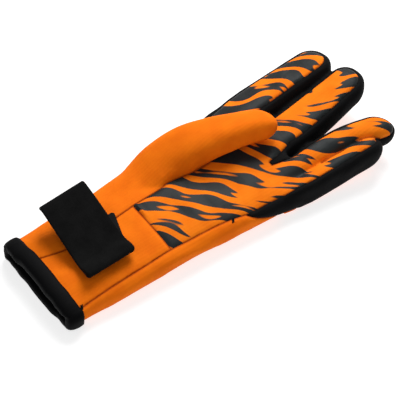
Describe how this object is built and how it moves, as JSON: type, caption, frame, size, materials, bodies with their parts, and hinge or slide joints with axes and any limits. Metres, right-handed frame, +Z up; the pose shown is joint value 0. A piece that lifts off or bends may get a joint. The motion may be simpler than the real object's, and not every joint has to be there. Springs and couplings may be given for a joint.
{
  "type": "diving glove",
  "caption": "Left-hand gauntlet glove of foam rubber for diving, palm up, thumb over the palm, strap closed on itself.",
  "frame": {"origin": "middle of the bottom of the bounding box, on the surface that the back of the glove rests on", "axes": "+X from the cuff to the fingertips, +Y towards the thumb's side, +Z up, out of the palm"},
  "size_m": [0.323, 0.1216, 0.052],
  "materials": {
    "orange_neoprene": "matt knitted face",
    "printed_neoprene": "matt knitted face with a rubbery dark grey grip print",
    "black_neoprene": "matt knitted face",
    "binding_tape": "smooth folded tape",
    "hook_tape": "matt woven tape",
    "strap_cloth": "matt brushed loop face"
  },
  "bodies": {
    "root": {"cuff_binding": "binding_tape", "gauntlet_panel": "orange_neoprene", "thumb_panel": "orange_neoprene", "palm_panel": "printed_neoprene", "back_panel": "orange_neoprene", "finger_side_band": "black_neoprene", "hook_tab": "hook_tape", "wrist_strap": "strap_cloth"}
  },
  "joints": []
}
